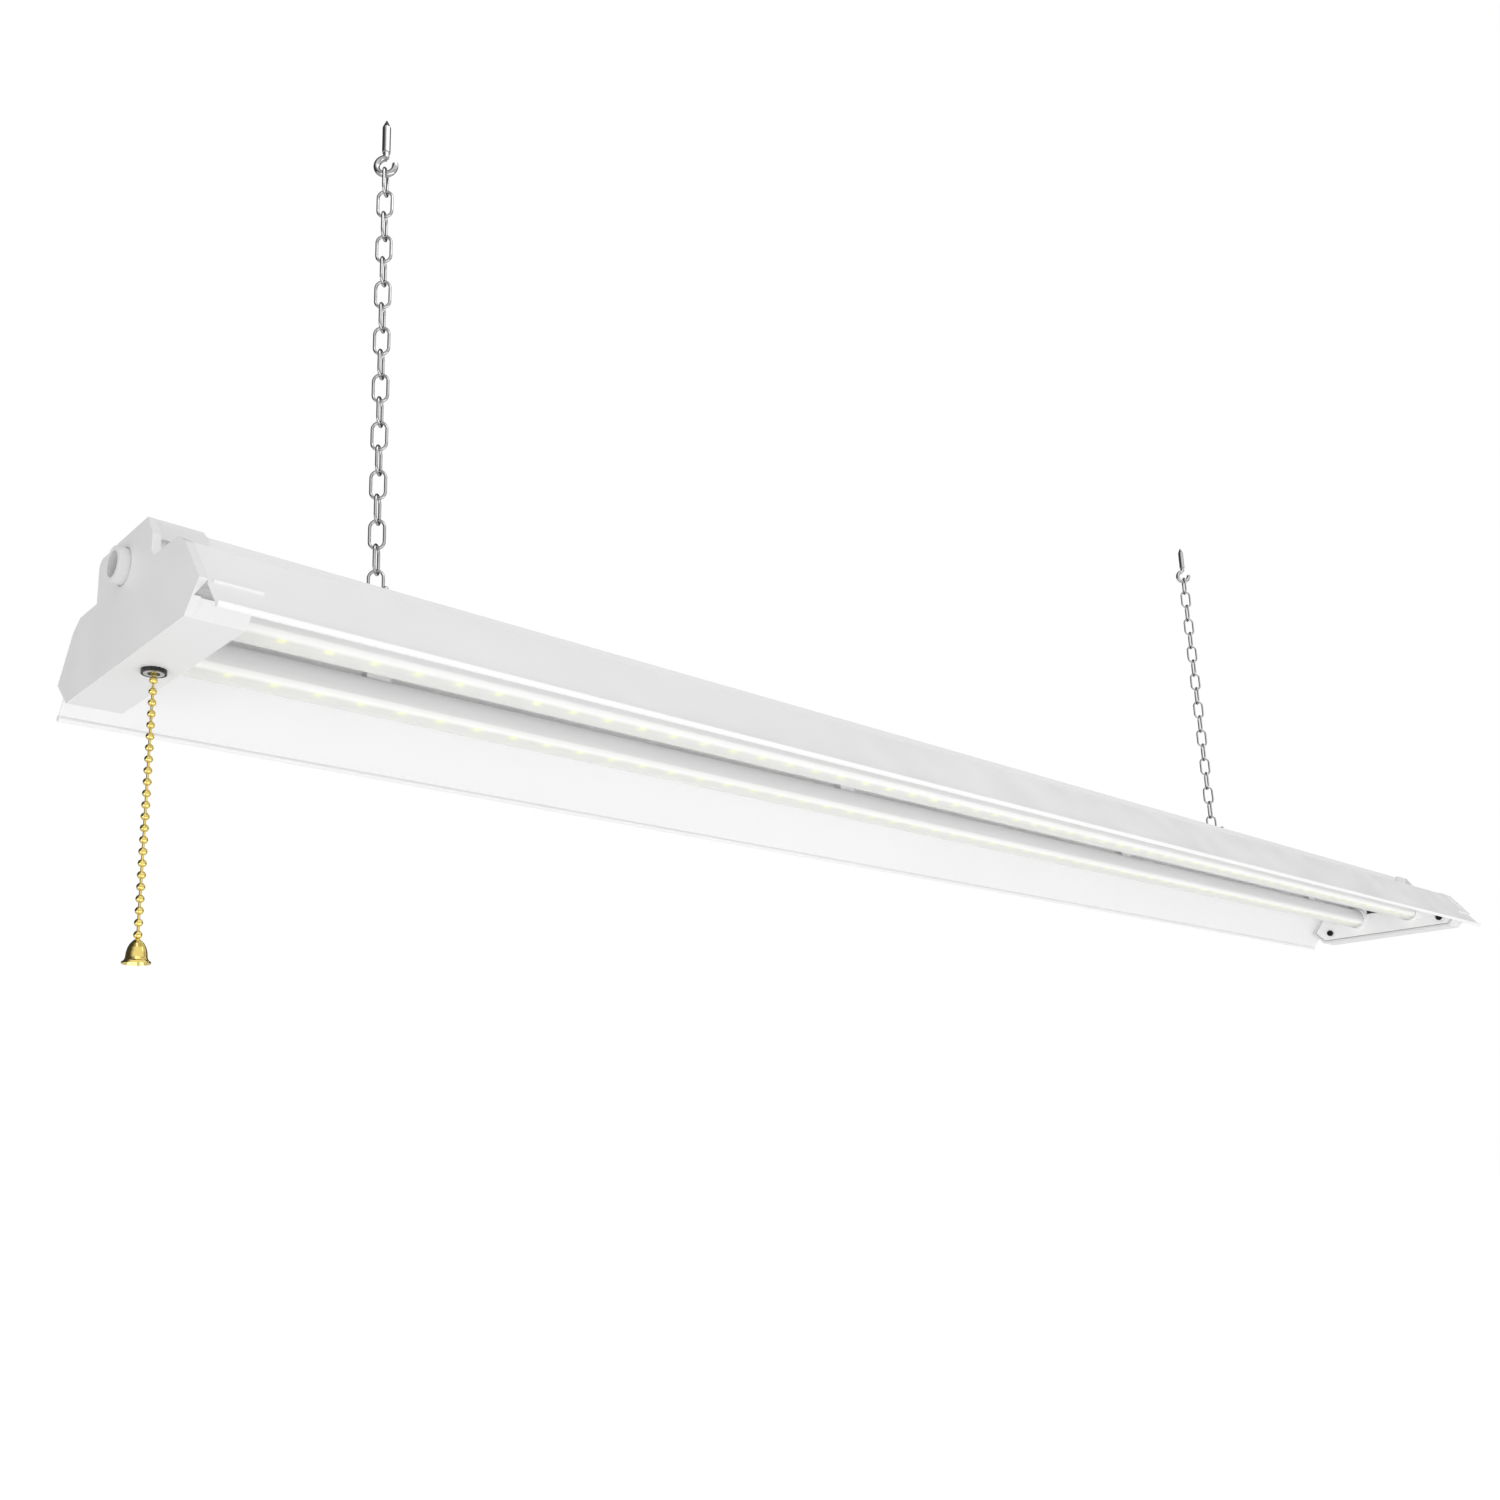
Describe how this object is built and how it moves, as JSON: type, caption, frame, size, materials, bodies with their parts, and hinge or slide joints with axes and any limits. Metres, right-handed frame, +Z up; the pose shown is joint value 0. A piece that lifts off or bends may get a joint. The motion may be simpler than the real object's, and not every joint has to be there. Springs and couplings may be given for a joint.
{
  "type": "hanging shop light",
  "caption": "Long hanging shop light: bent white reflector, paired LED tubes, moulded end caps with a pull-chain switch, hung from the ceiling on link chains.",
  "frame": {"origin": "middle of the housing's flat top, between the two flush-mount holes", "axes": "+X along the lamp, away from the pull-switch end; +Y to the rear side; +Z up"},
  "size_m": [1.2188, 0.162, 0.4222],
  "materials": {
    "white_paint": "satin white powder coat",
    "white_plastic": "semi-gloss moulded white",
    "zinc": "bright zinc plate",
    "black_screw": "black oxide",
    "zinc_sheet": "galvanised sheet",
    "dark_plastic": "matt black",
    "ivory_plastic": "satin ivory",
    "brass": "bright",
    "tube_aluminium": "satin",
    "strip_white": "white circuit strip",
    "clear_lens": "clear",
    "board": "solder mask",
    "green_zinc": "green plate",
    "lead_black": "insulation",
    "lead_red": "insulation",
    "nut_steel": "dull nickel",
    "bead_brass": "bright",
    "chain_steel": "plain wire",
    "led_light": "phosphor"
  },
  "bodies": {
    "ceiling_hooks": {"ceiling_hook_left": "chain_steel", "ceiling_hook_right": "chain_steel"},
    "top_link_left": {"top_link_left": "chain_steel"},
    "top_link_right": {"top_link_right": "chain_steel"},
    "chain_left": {"chain_left": "chain_steel"},
    "chain_right": {"chain_right": "chain_steel"},
    "pull": {"pull_stem": "bead_brass"},
    "knuckle": {"pull_knuckle": "bead_brass"},
    "pull_chain": {"pull_chain": "bead_brass", "pull_bell": "bead_brass"},
    "lever": {"switch_lever": "dark_plastic"},
    "lamp": {"housing": "white_paint", "bottom_pan": "white_paint", "end_cap_near": "white_plastic", "end_cap_far": "white_plastic", "socket_plate_near": "white_plastic", "socket_plate_far": "white_plastic", "plate_screws": "black_screw", "cap_screws": "zinc", "link_outlet": "dark_plastic", "outlet_contacts": "brass", "power_inlet": "dark_plastic", "inlet_pins": "zinc", "heat_sink_front": "tube_aluminium", "heat_sink_rear": "tube_aluminium", "led_strip_front": "strip_white", "led_strip_rear": "strip_white", "leds_front": "led_light", "leds_rear": "led_light", "lens_front": "clear_lens", "lens_rear": "clear_lens", "tube_plugs": "white_plastic", "tube_saddles": "white_plastic", "driver_case": "zinc_sheet", "driver_lid": "zinc_sheet", "driver_board": "board", "driver_parts": "dark_plastic", "driver_screws": "zinc", "terminal_block": "ivory_plastic", "ground_screw": "green_zinc", "mains_leads": "lead_black", "led_leads": "lead_red", "switch_body": "ivory_plastic", "switch_lid": "ivory_plastic", "switch_neck": "zinc", "switch_nut": "nut_steel", "switch_spring": "zinc", "hanger_left": "zinc", "hanger_right": "zinc"}
  },
  "joints": [
    {"name": "sway", "type": "hinge", "parent": "ceiling_hooks", "child": "top_link_left", "pos_m": [-0.497, 0, 0.22235], "axis": [1, 0, 0], "range_deg": [-20, 20]},
    {"name": "sway_right", "type": "hinge", "parent": "ceiling_hooks", "child": "top_link_right", "pos_m": [0.26, 0, 0.22235], "axis": [1, 0, 0], "range_deg": [-20, 20]},
    {"name": "swing", "type": "hinge", "parent": "top_link_left", "child": "chain_left", "pos_m": [-0.497, 0, 0.211], "axis": [0, 1, 0], "range_deg": [-20, 20]},
    {"name": "swing_right", "type": "hinge", "parent": "top_link_right", "child": "chain_right", "pos_m": [0.26, 0, 0.211], "axis": [0, 1, 0], "range_deg": [-20, 20]},
    {"name": "swing_level", "type": "hinge", "parent": "chain_left", "child": "lamp", "pos_m": [-0.497, 0, 0.0041], "axis": [0, 1, 0], "range_deg": [-20, 20]},
    {"name": "pull", "type": "slide", "parent": "lamp", "child": "pull", "axis": [0, 0, -1], "range_m": [0, 0.005], "stiffness_N_per_m": 1200, "deforming": ["switch_spring"]},
    {"name": "lever", "type": "hinge", "parent": "lamp", "child": "lever", "pos_m": [-0.592, -0.009, -0.0404], "axis": [1, 0, 0], "range_deg": [-32, 0]},
    {"name": "chain_sideways", "type": "hinge", "parent": "pull", "child": "knuckle", "pos_m": [-0.592, 0, -0.053], "axis": [1, 0, 0], "range_deg": [-30, 30]},
    {"name": "chain_lengthways", "type": "hinge", "parent": "knuckle", "child": "pull_chain", "pos_m": [-0.592, 0, -0.0576], "axis": [0, 1, 0], "range_deg": [-45, 45]}
  ],
  "couplings": [
    {"joint": "sway_right", "follows": "sway", "ratio": 1},
    {"joint": "swing_right", "follows": "swing", "ratio": 1},
    {"joint": "swing_level", "follows": "swing", "ratio": -1},
    {"joint": "lever", "follows": "pull", "rad_per_m": -111.11}
  ]
}
